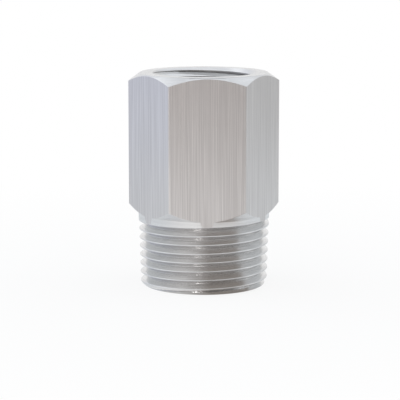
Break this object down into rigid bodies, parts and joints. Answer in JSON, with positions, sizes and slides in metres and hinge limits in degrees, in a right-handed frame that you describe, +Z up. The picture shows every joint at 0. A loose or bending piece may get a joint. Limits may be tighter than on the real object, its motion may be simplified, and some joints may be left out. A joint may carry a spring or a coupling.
{
  "type": "gauge diaphragm seal",
  "caption": "Hexagon-bodied gauge diaphragm seal with a tapered socket thread on top, a tapered male thread below and a flush corrugated diaphragm in the end face.",
  "frame": {"origin": "centre of the end face of the male thread, on the axis, which is the bottom of the part as it stands", "axes": "+Z up along the common axis of both threads, towards the gauge socket; two flats of the hexagon face -Y and +Y, and two of its corners lie on -X and +X"},
  "size_m": [0.0312, 0.027, 0.0441],
  "materials": {
    "turned_body": "stainless steel, drawn and lightly brushed flats, fine turned marks on the chamfer, shoulder and threads",
    "diaphragm_foil": "thin rolled stainless steel foil, bright, with pressed corrugations",
    "ring": "turned stainless steel",
    "weld_seam": "fine fused seam with small ripples, slightly darker than the turned steel"
  },
  "bodies": {
    "root": {"body": "turned_body", "diaphragm": "diaphragm_foil", "weld_ring": "ring", "weld_bead": "weld_seam"}
  },
  "joints": []
}
